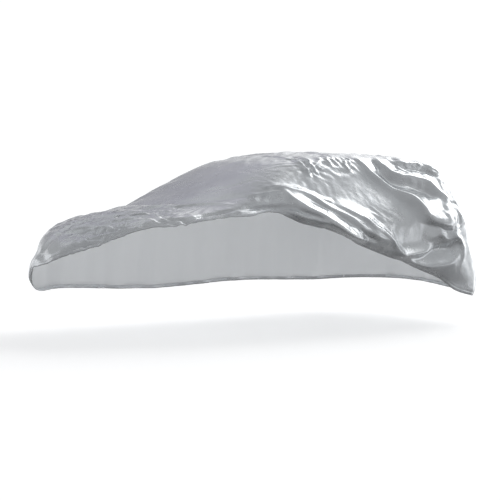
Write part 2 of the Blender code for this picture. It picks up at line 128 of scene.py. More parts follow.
Hem = namedtuple("Hem", "round height")
HEM_LINE = (
    Hem(0.16, 0.755),
    Hem(0.41, 0.835),
    Hem(0.93, 0.94),
    Hem(1.43, 1.005),
    Hem(1.71, 1.028),
    Hem(1.88, 1.03),
    Hem(1.96, 1.05),
    Hem(2.06, 1.065),
    Hem(2.15, 1.05),
    Hem(2.23, 1.00),
    Hem(2.30, 0.96),
    Hem(2.46, 0.91),
    Hem(2.60, 0.87),
    Hem(2.83, 0.785),
    Hem(3.10, 0.70),
    Hem(3.40, 0.60),
    Hem(3.69, 0.50),
    Hem(3.93, 0.42),
    Hem(4.10, 0.33),
    Hem(4.30, 0.275),
    Hem(4.80, 0.29),
    Hem(5.30, 0.33),
    Hem(6.20, 0.31),
    Hem(7.20, 0.34),
    Hem(8.20, 0.31),
    Hem(9.10, 0.35),
    Hem(9.55, 0.37),
    Hem(9.66, 0.42),
    Hem(9.76, 0.54),
    Hem(9.91, 0.59),
    Hem(10.09, 0.64),
)

# ---------------------------------------------------------------- folds
# "side" points are x and height, "top" points x and y, "tail" points y and height. A fold falls
# off by "above" on the left of its path and by "under" on the right, walking from its first point.
Fold = namedtuple("Fold", "name face height above under path")
FOLDS = (
    # near side, from the mirror to the rear wheel
    Fold("sweep_low", "side", 0.086, 0.092, 0.150,
         ((0.93, 1.24), (0.97, 1.15), (1.04, 1.075), (1.12, 1.032), (1.21, 0.992), (1.30, 0.946),
          (1.39, 0.894), (1.49, 0.840), (1.58, 0.805), (1.70, 0.765))),
    Fold("sweep_low_valley", "side", -0.022, 0.026, 0.030,
         ((1.12, 1.145), (1.24, 1.082), (1.38, 1.012), (1.52, 0.928), (1.71, 0.828), (1.83, 0.774))),
    Fold("sweep_middle", "side", 0.034, 0.026, 0.050,
         ((0.86, 1.245), (0.99, 1.219), (1.14, 1.183), (1.20, 1.160), (1.31, 1.080), (1.47, 1.005),
          (1.61, 0.926), (1.77, 0.850), (1.94, 0.780), (2.05, 0.700))),
    Fold("sweep_shade", "side", 0.022, 0.050, 0.110,
         ((1.50, 0.96), (1.66, 0.88), (1.84, 0.80), (2.02, 0.71))),
    Fold("sweep_upper", "side", 0.052, 0.056, 0.030,
         ((1.40, 1.10), (1.50, 1.050), (1.61, 0.997), (1.67, 0.971), (1.78, 0.896), (1.87, 0.857),
          (1.94, 0.815), (2.01, 0.752), (2.05, 0.69))),
    Fold("hook", "side", 0.062, 0.046, 0.030,
         ((1.99, 0.78), (2.03, 0.712), (2.08, 0.676), (2.15, 0.672), (2.23, 0.674), (2.32, 0.682),
          (2.48, 0.715))),
    Fold("streak_high", "side", 0.012, 0.014, 0.016, ((1.22, 1.19), (1.32, 1.135), (1.42, 1.11))),
    # near side, upper rear quarter
    Fold("long_ridge", "side", 0.036, 0.036, 0.060,
         ((1.86, 1.475), (1.92, 1.420), (1.95, 1.355), (2.02, 1.295), (2.10, 1.237), (2.18, 1.188),
          (2.27, 1.130), (2.35, 1.064), (2.42, 1.000))),
    Fold("white_belly", "side", 0.066, 0.140, 0.065,
         ((2.14, 1.205), (2.27, 1.110), (2.35, 1.038), (2.42, 0.975), (2.51, 0.935), (2.62, 0.900),
          (2.72, 0.895), (2.80, 0.900))),
    Fold("long_valley", "side", -0.018, 0.055, 0.220,
         ((1.84, 1.42), (1.92, 1.31), (2.04, 1.21), (2.16, 1.12), (2.30, 1.02))),
    Fold("upper_ridge", "side", 0.040, 0.040, 0.050,
         ((2.12, 1.480), (2.13, 1.414), (2.19, 1.345), (2.26, 1.320), (2.37, 1.304), (2.47, 1.288),
          (2.55, 1.266), (2.60, 1.236), (2.65, 1.195), (2.71, 1.150))),
    Fold("upper_valley", "side", -0.036, 0.046, 0.080,
         ((2.02, 1.390), (2.09, 1.332), (2.14, 1.292), (2.21, 1.262), (2.31, 1.238), (2.42, 1.212),
          (2.51, 1.185), (2.60, 1.150), (2.70, 1.120))),
    Fold("upper_crease", "side", -0.014, 0.020, 0.020,
         ((2.04, 1.460), (2.06, 1.415), (2.10, 1.370))),
    Fold("roof_corner", "side", 0.022, 0.030, 0.030,
         ((2.22, 1.46), (2.38, 1.42), (2.52, 1.41), (2.66, 1.39), (2.80, 1.34))),
    Fold("roof_corner_crease", "side", -0.016, 0.020, 0.020,
         ((2.30, 1.39), (2.45, 1.375), (2.60, 1.35), (2.74, 1.30))),
    # near side, rear corner
    Fold("corner_shadow", "side", -0.020, 0.022, 0.026,
         ((2.30, 0.925), (2.45, 0.900), (2.60, 0.880), (2.80, 0.92))),
    Fold("corner_spike", "side", -0.014, 0.014, 0.016, ((2.52, 0.875), (2.66, 0.855), (2.84, 0.870))),
    Fold("corner_spike_low", "side", -0.012, 0.012, 0.014, ((2.70, 0.83), (2.78, 0.815), (2.86, 0.82))),
    Fold("corner_ridge", "side", 0.032, 0.050, 0.050,
         ((2.34, 0.83), (2.43, 0.806), (2.52, 0.824), (2.61, 0.790), (2.71, 0.796), (2.80, 0.73))),
    Fold("corner_valley", "side", -0.024, 0.030, 0.045,
         ((2.30, 0.650), (2.42, 0.675), (2.56, 0.700), (2.76, 0.690))),
    Fold("corner_rim", "side", 0.026, 0.030, 0.024,
         ((2.66, 0.84), (2.76, 0.79), (2.815, 0.72), (2.82, 0.64), (2.80, 0.57))),
    Fold("tail_curve", "side", 0.054, 0.042, 0.130,
         ((1.98, 0.665), (2.09, 0.618), (2.18, 0.587), (2.30, 0.565), (2.42, 0.559), (2.53, 0.567),
          (2.62, 0.577), (2.71, 0.607), (2.82, 0.68))),
    Fold("tail_tuck", "side", -0.060, 0.160, 0.120,
         ((2.05, 0.50), (2.35, 0.40), (2.65, 0.30), (3.00, 0.24))),
    # near side, along the hem
    Fold("mirror_crease", "side", -0.034, 0.014, 0.040,
         ((0.46, 1.065), (0.57, 1.080), (0.68, 1.083), (0.81, 1.083), (0.90, 1.078), (0.96, 1.062),
          (1.03, 1.030), (1.15, 0.985), (1.24, 0.950))),
    Fold("mirror_strip", "side", 0.010, 0.014, 0.014, ((0.20, 1.002), (0.39, 1.012), (0.53, 1.024))),
    Fold("pillar_streak_a", "side", 0.008, 0.016, 0.020, ((0.62, 1.165), (0.80, 1.185), (1.00, 1.19))),
    Fold("pillar_streak_b", "side", 0.010, 0.014, 0.018, ((0.80, 1.225), (0.92, 1.235), (1.06, 1.215))),
    # near roof edge
    Fold("edge_zigzag_a", "side", 0.018, 0.018, 0.024,
         ((1.30, 1.45), (1.30, 1.41), (1.29, 1.37), (1.28, 1.34))),
    Fold("edge_zigzag_b", "side", 0.020, 0.018, 0.018,
         ((1.43, 1.47), (1.37, 1.425), (1.35, 1.385), (1.30, 1.365), (1.28, 1.31))),
    Fold("edge_zigzag_c", "side", 0.014, 0.016, 0.016,
         ((1.54, 1.48), (1.48, 1.445), (1.40, 1.405), (1.34, 1.37))),
    Fold("edge_zigzag_d", "side", 0.014, 0.016, 0.020, ((1.62, 1.485), (1.56, 1.445), (1.57, 1.40))),
    Fold("edge_zigzag_e", "side", 0.012, 0.014, 0.020, ((1.72, 1.49), (1.63, 1.455), (1.64, 1.41))),
    Fold("edge_zigzag_f", "side", 0.016, 0.018, 0.020, ((1.74, 1.46), (1.72, 1.40), (1.73, 1.35))),
    Fold("edge_zigzag_g", "side", 0.012, 0.014, 0.018, ((1.82, 1.475), (1.77, 1.42), (1.75, 1.38))),
    # screen
    Fold("screen_foot", "top", -0.018, 0.070, 0.070,
         ((0.30, 0.62), (0.30, 0.28), (0.34, -0.05), (0.46, -0.34), (0.66, -0.66))),
    Fold("screen_foot_ridge", "top", 0.018, 0.028, 0.030,
         ((0.00, 0.10), (0.08, 0.03), (0.15, -0.06), (0.19, -0.22), (0.27, -0.27), (0.33, -0.31),
          (0.40, -0.40), (0.48, -0.58))),
    Fold("screen_streak_a", "top", -0.003, 0.080, 0.060,
         ((0.44, 0.32), (0.59, 0.05), (0.72, -0.20), (0.93, -0.39))),
    Fold("screen_streak_b", "top", -0.007, 0.030, 0.022,
         ((0.53, -0.01), (0.63, -0.29), (0.74, -0.39), (0.86, -0.46))),
    # bonnet
    Fold("bonnet_far_groove", "top", -0.014, 0.022, 0.030,
         ((-0.70, 0.38), (-0.66, 0.32), (-0.61, 0.31), (-0.55, 0.34), (-0.48, 0.35), (-0.38, 0.37))),
    Fold("bonnet_far_ridge", "top", 0.020, 0.026, 0.034,
         ((-0.48, 0.40), (-0.40, 0.37), (-0.33, 0.31), (-0.26, 0.24), (-0.18, 0.20))),
    Fold("bonnet_long_groove", "top", -0.020, 0.030, 0.026,
         ((-0.40, 0.36), (-0.31, 0.29), (-0.24, 0.26), (-0.19, 0.15), (-0.14, 0.05), (-0.05, 0.00),
          (0.06, -0.16))),
    Fold("bonnet_cross_ridge", "top", 0.024, 0.030, 0.030,
         ((-0.62, 0.30), (-0.54, 0.24), (-0.49, 0.10), (-0.47, -0.02), (-0.44, -0.13), (-0.43, -0.26))),
    Fold("bonnet_dent_a", "top", -0.016, 0.018, 0.018, ((-0.53, -0.10), (-0.50, -0.16), (-0.46, -0.21))),
    Fold("bonnet_dent_b", "top", -0.016, 0.018, 0.018, ((-0.61, -0.12), (-0.58, -0.21), (-0.54, -0.28))),
    Fold("bonnet_dent_c", "top", -0.020, 0.018, 0.018, ((-0.67, -0.14), (-0.63, -0.22), (-0.59, -0.29))),
    Fold("bonnet_dent_d", "top", -0.018, 0.020, 0.018, ((-0.73, -0.04), (-0.69, -0.12), (-0.65, -0.20))),
    Fold("bonnet_dent_e", "top", -0.018, 0.020, 0.018, ((-0.49, -0.24), (-0.42, -0.30), (-0.35, -0.33))),
    Fold("bonnet_dent_f", "top", -0.016, 0.018, 0.018, ((-0.51, -0.31), (-0.46, -0.35), (-0.42, -0.39))),
    Fold("bonnet_wave_a", "top", 0.018, 0.026, 0.026,
         ((-0.40, -0.06), (-0.32, -0.13), (-0.26, -0.24), (-0.22, -0.42), (-0.18, -0.56))),
    Fold("bonnet_wave_b", "top", 0.016, 0.026, 0.026,
         ((-0.28, 0.00), (-0.17, -0.11), (-0.10, -0.18), (-0.08, -0.34), (-0.09, -0.50))),
    Fold("bonnet_gather", "top", -0.022, 0.018, 0.018,
         ((-0.13, -0.27), (-0.08, -0.38), (-0.08, -0.50), (0.00, -0.56), (0.03, -0.66), (0.12, -0.74))),
    Fold("bonnet_gather_low", "top", -0.018, 0.016, 0.016,
         ((-0.20, -0.48), (-0.10, -0.54), (-0.05, -0.62), (0.05, -0.63), (0.14, -0.68))),
    Fold("bonnet_hem_groove", "top", -0.026, 0.016, 0.045,
         ((-0.72, 0.04), (-0.67, -0.14), (-0.58, -0.29), (-0.43, -0.41), (-0.23, -0.52), (-0.07, -0.57),
          (0.06, -0.60), (0.21, -0.60), (0.30, -0.62), (0.43, -0.67), (0.57, -0.73))),
    Fold("far_bonnet_pleat", "top", -0.014, 0.045, 0.045, ((-0.30, 0.60), (0.15, 0.70), (0.60, 0.74))),
    # tail
    Fold("tail_pleat_near", "tail", 0.020, 0.050, 0.050, ((-0.52, 1.05), (-0.38, 0.80), (-0.34, 0.50))),
    Fold("tail_pleat_middle", "tail", -0.018, 0.070, 0.070, ((-0.05, 1.10), (0.04, 0.85), (0.02, 0.55))),
    Fold("tail_pleat_far", "tail", 0.020, 0.055, 0.055, ((0.50, 1.08), (0.40, 0.80), (0.44, 0.50))),
)
FOLD_SHARPNESS = 1.5       # power of the fold's section: 2 is a soft bell, 1 a sharp crest
FOLD_FADE = 0.25           # share of the fold's length over which each end fades in
FOLD_DROOP = 0.20          # share of a ridge's height by which it hangs over
FACES_UP = 0.4             # how much an upward lean counts as facing the near side

HEM_CALM = 0.06            # folds and crinkles flatten out this far above the hem
HEM_FOLD_SHARE = 0.35      # share of a fold's height that is left at the hem
HEM_CRINKLE_SHARE = 0.3    # share of a crinkle's depth that is left at the hem

Pleat = namedtuple("Pleat", "wavelength depth shift")
PLEATS = (
    Pleat(0.46, 0.010, 0.4),
    Pleat(0.31, 0.006, 2.1),
    Pleat(0.19, 0.004, 4.0),
)
PLEAT_TOP = 0.95
PLEAT_START = 4.70
PLEAT_END = 9.60
PLEAT_FADE = 0.40

# ---------------------------------------------------------------- wrinkles of loose cloth
SIM_NEAR_STEP = 2          # the simulated cloth keeps every second column and row
SIM_FAR_STEP = 2
SIM_ROW_STEP = 2
SIM_FRAMES = 22
SIM_EXTRA = 0.08           # loose cloth where it is slackest, as a share of its length
SIM_HOLD = 0.25            # how strongly the cloth is held to the drape
SIM_LIMIT = 0.022          # the furthest that a point may move
SIM_SMOOTHING = 3

# How slack the cloth is, from 0 to 1, round a spot as seen from a face; BASE_SLACK elsewhere
Slack = namedtuple("Slack", "name face spot size share")
BASE_SLACK = 0.35
FAR_SIDE_SLACK = 0.10      # the far side hangs down to the sill and is drawn smoother
SLACKS = (
    Slack("screen", "top", (0.75, 0.10), (0.60, 0.80), 0.03),
    Slack("roof", "top", (1.90, 0.00), (1.10, 0.60), 0.20),
    Slack("pillar", "side", (0.86, 1.20), (0.42, 0.22), 0.03),
    Slack("side_panel", "side", (1.82, 1.16), (0.62, 0.36), 0.03),
    Slack("rear_facet", "side", (2.32, 0.86), (0.36, 0.22), 0.05),
    Slack("bonnet_hem", "side", (-0.10, 0.95), (0.55, 0.12), 0.35),
    Slack("mirror", "side", (0.60, 1.06), (0.42, 0.14), 0.02),
    Slack("roof_edge_front", "side", (1.33, 1.40), (0.16, 0.10), 0.50),
    Slack("roof_edge_middle", "side", (1.70, 1.46), (0.20, 0.06), 0.80),
    Slack("roof_edge_rear", "side", (2.50, 1.42), (0.36, 0.09), 0.90),
    Slack("rear_corner", "side", (2.70, 0.90), (0.22, 0.12), 0.90),
    Slack("tail_low", "side", (2.60, 0.42), (0.50, 0.20), 0.04),
)

# Zones of crinkles: the spot and size are seen from the face, as in FOLDS. Crinkles run along
# the given direction (degrees from the first axis) and are stretched that many times.
Zone = namedtuple("Zone", "name face spot size direction stretch wavelength depth")
ZONES = (
    Zone("bonnet_hem", "side", (0.00, 0.96), (0.55, 0.10), 6, 4.0, 0.060, 0.009),
    Zone("roof_edge_front", "side", (1.35, 1.41), (0.11, 0.11), -60, 3.0, 0.045, 0.009),
    Zone("roof_edge_middle", "side", (1.72, 1.43), (0.22, 0.09), -50, 3.0, 0.050, 0.010),
    Zone("roof_edge_rear", "side", (2.50, 1.40), (0.36, 0.09), -15, 2.5, 0.055, 0.010),
    Zone("rear_corner", "side", (2.70, 0.93), (0.24, 0.13), 8, 2.6, 0.060, 0.012),
    Zone("tail_low", "side", (2.60, 0.44), (0.50, 0.16), -15, 2.5, 0.130, 0.002),
    Zone("sweep", "side", (1.75, 0.92), (0.45, 0.14), -32, 4.0, 0.060, 0.007),
    Zone("screen", "top", (0.75, 0.00), (0.50, 0.80), -50, 6.0, 0.090, 0.003),
    Zone("bonnet", "top", (-0.25, 0.00), (0.55, 0.70), -62, 4.5, 0.080, 0.019),
    Zone("roof", "top", (1.90, 0.00), (1.20, 0.70), 20, 2.0, 0.110, 0.004),
    Zone("side_panel", "side", (1.80, 1.20), (0.50, 0.20), -45, 1.6, 0.160, 0.0015),
)
ALL_OVER = ((0.160, 0.0035), (0.070, 0.0018), (0.035, 0.0008))   # wavelength, depth
TAUT_SHARE = 0.15          # share of the all-over crinkles that taut cloth keeps
CREST_LEVEL = 0.35         # height of a crinkle's crest, in depths
HOLLOW_DEPTH = 1.6         # how steeply a crinkle falls from its crest
FINE_SHARE = 0.45          # finer crinkles of half the wavelength, laid over a zone's own
FINE_OFFSET = 3.7
ZONE_OFFSET = 0.37         # keeps the crinkles of two zones from repeating

# ---------------------------------------------------------------- hem
HEM_WIDTH = 0.026          # the turned and stitched edge
HEM_ROWS = 6
HEM_THICKNESS = 0.009
HEM_GIVEN_ROWS = 4         # the sheet's rows that the hem's own rows take over
HEM_START_GAP = 0.004      # least distance from the last free row to the hem
Turn = namedtuple("Turn", "inward down up")
HEM_TURN = (               # inward and down in half thicknesses, up in widths of the hem
    Turn(1.0, 1.0, 0.00),
    Turn(2.0, 0.0, 0.00),
    Turn(2.0, 0.0, 0.40),
    Turn(1.5, 0.0, 0.95),
)
GROOVE_DEPTH = 0.0025
Tuck = namedtuple("Tuck", "round depth")
HEM_TUCKS = (              # how far the lowest strip turns inwards, by metres round the plan
    Tuck(0.00, 0.026),
    Tuck(1.30, 0.030),
    Tuck(1.75, 0.022),
    Tuck(1.95, 0.022),
    Tuck(2.30, 0.042),
    Tuck(3.70, 0.036),
    Tuck(4.30, 0.016),
    Tuck(10.20, 0.018),
)
HEM_TUCK_REACH = 0.062
HEM_EVENING = 60
HEM_TUCK_POWER = 1.6       # how late the strip starts to turn
HEM_CURL = 0.6             # share of the cloth's lean that the turned strip follows
STITCH_LENGTH = 0.006
STITCH_GAP = 0.004
STITCH_WIDTH = 0.0012

# ---------------------------------------------------------------- camera and light
CAMERA_PLACE = (-9.0507, -12.6004, 1.7276)
CAMERA_HEADING = 39.01     # degrees from +Y towards +X
CAMERA_DOWN = 3.73
CAMERA_ROLL = 0.755
CAMERA_LENS = 137.5
FLOOR_RADIUS = 300.0
FLOOR_GLOW = 0.40
Sky = namedtuple("Sky", "elevation backdrop room")
SKY = (                    # the backdrop is behind the cover, the room round the camera
    Sky(-90, 0.10, 0.03),
    Sky(-62, 0.12, 0.06),
    Sky(-45, 0.16, 0.17),
    Sky(-20, 0.24, 0.33),
    Sky(-4, 0.98, 0.33),
    Sky(4, 1.00, 0.37),
    Sky(12, 0.46, 0.39),
    Sky(24, 0.29, 0.39),
    Sky(40, 0.38, 0.39),
    Sky(60, 0.41, 0.41),
    Sky(90, 0.34, 0.34),
)
BACKDROP_AZIMUTH = 50
BACKDROP_EDGE = (-0.25, 0.35)   # cosines between which the room turns into the backdrop
Glow = namedtuple("Glow", "name azimuth elevation focus strength colour")
GLOWS = (
    Glow("tail_box", 72, 22, 14.0, 3.6, (1.0, 1.0, 1.0)),
    Glow("tail_box_top", 84, 44, 40.0, 1.5, (1.0, 1.0, 1.0)),
    Glow("tail_box_side", 93, 38, 60.0, 0.7, (1.0, 1.0, 1.0)),
    Glow("near_box", 134, 44, 5.0, 0.14, (0.95, 1.0, 1.0)),
    Glow("front_box", 38, 32, 160.0, 0.24, (1.0, 1.0, 1.0)),
    Glow("bonnet_box", -12, 46, 12.0, 0.30, (0.97, 1.0, 1.0)),
    Glow("screen_tint", 22, 36, 24.0, 0.08, (0.5, 0.3, 1.0)),
)


def smooth_curve(rows, at):
    """Smooth interpolation of a two-column table."""
    table = np.array(rows, dtype=float)
    xs, ys = table[:, 0], table[:, 1]
    slopes = np.gradient(ys, xs)
    k = np.clip(np.searchsorted(xs, at) - 1, 0, len(xs) - 2)
    span = xs[k + 1] - xs[k]
    t = np.clip((at - xs[k]) / span, 0.0, 1.0)
    rise = (2 * t**3 - 3 * t**2 + 1) * ys[k] + (3 * t**2 - 2 * t**3) * ys[k + 1]
    lean = (t**3 - 2 * t**2 + t) * slopes[k] + (t**3 - t**2) * slopes[k + 1]
    return rise + span * lean


def smooth_step(low, high, at):
    t = np.clip((at - low) / (high - low), 0.0, 1.0)
    return t * t * (3 - 2 * t)


def soft_minimum(a, b, softness):
    return 0.5 * (a + b - np.sqrt((a - b) ** 2 + 4 * softness**2))


def at_lengths(points, lengths):
    """Points of a polyline at the given lengths along it."""
    steps = np.linalg.norm(np.diff(points, axis=0), axis=1)
    run = np.concatenate([[0.0], np.cumsum(steps)])
    return np.stack([np.interp(lengths, run, column) for column in points.T], axis=-1)


def total_length(points):
    return float(np.linalg.norm(np.diff(points, axis=0), axis=1).sum())


def near_plan():
    """Plan outline of the near half, from the middle of the nose to the middle of the tail."""
    angle = np.linspace(0.0, math.pi / 2, 400)

    def rounded_end(end_x, length, power, direction):
        x = end_x + direction * length * (1 - np.cos(angle) ** (2 / power))
        y = -HALF_WIDTH * np.sin(angle) ** (2 / power)
        return np.stack([x, y], axis=-1)

    nose = rounded_end(NOSE_X, NOSE_ROUND, NOSE_POWER, 1)
    tail = rounded_end(TAIL_X, TAIL_ROUND, TAIL_POWER, -1)
    return np.concatenate([nose, tail[::-1]])


def near_columns(half_length):
    """Where the columns of the near half stand, in metres round the plan."""
    stops = []
    for band in COLUMN_BANDS:
        end = half_length if band.end is None else band.end
        stops.append(np.linspace(band.start, end, band.columns, endpoint=False))
    stops.append([half_length])
    return np.concatenate(stops)


def spine_point(x):
    """Foot of a section on the centre line, held softly between the ends of the spine."""
    ahead = x - SPINE_FRONT
    x = SPINE_FRONT + 0.5 * (math.sqrt(ahead**2 + SPINE_SOFTNESS) + ahead)
    behind = SPINE_REAR - x
    return SPINE_REAR - 0.5 * (math.sqrt(behind**2 + SPINE_SOFTNESS) + behind)


def row_shares():
    """Where the rows lie, as shares of the way from the centre line to the hem."""
    share = np.linspace(0.0, 1.0, 400)
    density = np.interp(share, *np.array(ROW_CROWDS).T)
    run = np.concatenate([[0.0], np.cumsum(0.5 * (density[1:] + density[:-1]))])
    return np.interp(np.linspace(0.0, run[-1], ROWS + 1), run, share)


def section(edge, outward, hem_height):
    """One section of the sheet, from the centre line over the edge and down to the hem."""
    foot = np.array([spine_point(edge[0]), 0.0])
    share = np.linspace(0.0, 1.0, 240)
    plan = foot + (edge - foot) * share[:, None]
    inwards = (1 - share) * np.dot(edge - foot, outward)

    top = smooth_curve(CENTRE_LINE, plan[:, 0]) - ROOF_CROWN * plan[:, 1] ** 2
    side = smooth_curve(BELT_LINE, plan[:, 0]) + SIDE_SLOPE * inwards
    softness = FAR_SOFTNESS
    if edge[1] < 0:
        drawn = smooth_curve(NEAR_SOFTNESS, plan[:, 0]) - FAR_SOFTNESS
        softness = FAR_SOFTNESS + drawn * smooth_step(0.1, 0.6, share)
    height = soft_minimum(top, side, softness)
    into_edge = np.clip(EDGE_ROUND - inwards, 0.0, EDGE_ROUND)
    height -= EDGE_DROP * (EDGE_ROUND - np.sqrt(EDGE_ROUND**2 - into_edge**2))
    over = np.column_stack([plan, height])

    fall = np.linspace(height[-1], min(hem_height, height[-1] - 0.02), 120)[1:]
    flare_rows = TAIL_FLARE if outward[0] > 0 else NOSE_FLARE
    flare = smooth_curve(flare_rows, fall) - smooth_curve(flare_rows, height[-1:])
    flare *= abs(outward[0]) ** 1.5
    hanging = np.column_stack([edge[0] + flare * outward[0], edge[1] + flare * outward[1], fall])

    whole = np.concatenate([over, hanging])
    kept = int(np.nonzero(whole[:, 2] >= hem_height)[0][-1])
    if kept + 1 < len(whole):
        above, below = whole[kept], whole[kept + 1]
        cut = (above[2] - hem_height) / (above[2] - below[2])
        whole = np.concatenate([whole[: kept + 1], [above + cut * (below - above)]])
    return at_lengths(whole, row_shares() * total_length(whole))


def draped_halves():
    """The near and the far half as grids of points: columns round the plan, rows to the hem."""
    plan = near_plan()
    half_length = total_length(plan)
    stops = near_columns(half_length)
    near_edge = at_lengths(plan, stops)
    along = np.gradient(near_edge, stops, axis=0)
    along /= np.linalg.norm(along, axis=1)[:, None]
    near_out = np.stack([along[:, 1], -along[:, 0]], axis=-1)

    girth = 2 * half_length
    hem_rows = [Hem(row.round + turn * girth, row.height) for turn in (-1, 0, 1) for row in HEM_LINE]
    halves = []
    for mirror, way_round in ((1, stops), (-1, girth - stops)):
        flip = np.array([1, mirror])
        hem = smooth_curve(hem_rows, way_round)
        columns = [
            section(edge * flip, out * flip, low) for edge, out, low in zip(near_edge, near_out, hem)
        ]
        halves.append(np.array(columns))
    return halves[0], halves[1], stops, girth


def closed_ring(near, far):
    """Both halves as one ring of columns, near side first."""
    return np.concatenate([near, far[-2:0:-1]])


def settled(ring, passes):
    """Evens the sheet out as its own weight does. The hem keeps its height, the crown its place."""
    hem_height = ring[:, -1, 2].copy()
    freedom = smooth_step(0.0, 0.25, np.linspace(0.0, 1.0, ring.shape[1]))[:, None]
    for _ in range(passes):
        round_mean = 0.5 * (np.roll(ring, 1, axis=0) + np.roll(ring, -1, axis=0))
        down_mean = 0.5 * (ring[:, 2:] + ring[:, :-2])
        eased = ring.copy()
        eased[:, 1:-1] = 0.5 * ring[:, 1:-1] + 0.25 * round_mean[:, 1:-1] + 0.25 * down_mean
        eased[:, -1] = 0.5 * ring[:, -1] + 0.5 * round_mean[:, -1]
        eased[:, -1, 2] = hem_height
        ring = ring + freedom * (eased - ring)
    return ring


def outward_normals(ring):
    round_step = np.roll(ring, -1, axis=0) - np.roll(ring, 1, axis=0)
    down_step = np.gradient(ring, axis=1)
    normal = np.cross(down_step, round_step)
    across = -np.arange(len(ring)) % len(ring)
    normal[:, 0] = normal[:, 1] + normal[across, 1]  # both halves share the centre line
    return normal / np.linalg.norm(normal, axis=2)[:, :, None]


def seen_from(ring, normal, face):
    """The sheet's points as seen from one face, and how squarely each one faces it."""
    if face == "side":
        near_half = ring[:, :, 1] < 0
        return ring[:, :, (0, 2)], near_half * (FACES_UP * normal[:, :, 2] - normal[:, :, 1])
    if face == "top":
        return ring[:, :, (0, 1)], normal[:, :, 2]
    return ring[:, :, (1, 2)], normal[:, :, 0]


def smooth_path(spots):
    """A smooth line of short pieces through a fold's points."""
    spots = np.array(spots)
    run = np.concatenate([[0.0], np.cumsum(np.linalg.norm(np.diff(spots, axis=0), axis=1))])
    at = np.linspace(0.0, run[-1], 16 * len(spots))
    return np.column_stack([smooth_curve(np.column_stack([run, axis]), at) for axis in spots.T])


def distance_to_line(points, line):
    """How far each point is from a line, left of it or right (minus), and how far along it."""
    nearest = np.full(len(points), np.inf)
    signed = np.zeros(len(points))
    along = np.zeros(len(points))
    pieces = len(line) - 1
    for k in range(pieces):
        step = line[k + 1] - line[k]
        gap = points - line[k]
        share = np.clip(gap @ step / (step @ step), 0.0, 1.0)
        away = np.linalg.norm(gap - share[:, None] * step, axis=1)
        closer = away < nearest
        left = step[0] * gap[:, 1] - step[1] * gap[:, 0] > 0
        nearest[closer] = away[closer]
        signed[closer] = np.where(left, away, -away)[closer]
        along[closer] = (k + share[closer]) / pieces
    return signed, along


def fold_lift(ring, normal, fold):
    """How far one fold lifts each point of the sheet."""
    flat, facing = seen_from(ring, normal, fold.face)
    line = smooth_path(fold.path)
    reach = 3 * max(fold.above, fold.under)
    close = np.all((flat > line.min(0) - reach) & (flat < line.max(0) + reach), axis=2)
    close &= facing > 0.05
    away, along = distance_to_line(flat[close], line)
    fade = smooth_step(-0.05, FOLD_FADE, along) * smooth_step(1.05, 1.0 - FOLD_FADE, along)
    lift = np.zeros(close.shape)
    share = np.where(away > 0, away / fold.above, -away / fold.under)
    section_shape = np.exp(-(share ** FOLD_SHARPNESS))
    lift[close] = fold.height * fade * section_shape * smooth_step(0.05, 0.3, facing[close])
    return lift


def pleat_lift(ring, way_round):
    depth = smooth_step(PLEAT_TOP, PLEAT_TOP - 0.5, ring[:, :, 2])
    along = smooth_step(PLEAT_START, PLEAT_START + PLEAT_FADE, way_round)
    along *= smooth_step(PLEAT_END, PLEAT_END - PLEAT_FADE, way_round)
    wave = sum(p.depth * np.sin(2 * math.pi * way_round / p.wavelength + p.shift) for p in PLEATS)
    return depth * (along * wave)[:, None]


def folded_ring():
    """The outer face of the sheet with its folds, as one ring of columns."""
    near, far, stops, girth = draped_halves()
    ring = settled(closed_ring(near, far), SETTLE_PASSES)
    way_round = np.concatenate([stops, girth - stops[-2:0:-1]])
    normal = outward_normals(ring)
    lift = pleat_lift(ring, way_round)
    droop = np.zeros(lift.shape)
    for fold in FOLDS:
        rise = fold_lift(ring, normal, fold)
        lift += rise
        if fold.face == "side":
            droop += FOLD_DROOP * np.maximum(rise, 0.0)
    calm = smooth_step(0.0, HEM_CALM, distance_above_hem(ring))
    ring = ring + (lift * (HEM_FOLD_SHARE + (1 - HEM_FOLD_SHARE) * calm))[:, :, None] * normal
    ring[:, :, 2] -= droop * calm
    return ring, way_round


# ---------------------------------------------------------------- meshes
def kept_columns(columns, near_step, far_step):
    """The ring's columns that a mesh keeps, and which near ones have a partner on the far side."""
    last = columns // 2
    near = list(range(0, last + 1, near_step))
    marks = list(range(0, len(near) - 1, far_step)) + [len(near) - 1]
    far = [columns - near[mark] for mark in marks[-2:0:-1]]
    return near + far, marks


def sheet_faces(marks, rows):
    """Quads down every column gap, and triangles that join the far side to the centre line.

    Points are numbered column by column, near side first. A far column has no point of its own
    on the centre line: it uses the one of its partner."""
    near_count = marks[-1] + 1
    foot = list(range(near_count)) + marks[-2:0:-1]
    columns = len(foot)

    def point(column, row):
        return (foot[column] if row == 0 else column) * (rows + 1) + row

    faces = []
    for column in range(columns):
        after = (column + 1) % columns
        on_near_side = column < near_count - 1
        for row in range(0 if on_near_side else 1, rows):
            faces.append((point(column, row), point(column, row + 1),
                          point(after, row + 1), point(after, row)))
        if on_near_side:
            continue
        feet = [near * (rows + 1) for near in range(foot[column], foot[after] - 1, -1)]
        turn = len(feet) // 2
        for step, (this, following) in enumerate(zip(feet, feet[1:])):
            faces.append((this, point(column if step < turn else after, 1), following))
        faces.append((point(column, 1), point(after, 1), feet[turn]))
    return faces


def mesh_object(name, points, faces):
    mesh = bpy.data.meshes.new(name)
    mesh.from_pydata(points.reshape(-1, 3).tolist(), [], faces)
    mesh.validate()
    thing = bpy.data.objects.new(name, mesh)
    bpy.context.scene.collection.objects.link(thing)
    return thing


def remove_loose(thing):
    work = bmesh.new()
    work.from_mesh(thing.data)
    bmesh.ops.delete(work, geom=[v for v in work.verts if not v.link_faces], context="VERTS")
    work.to_mesh(thing.data)
    work.free()


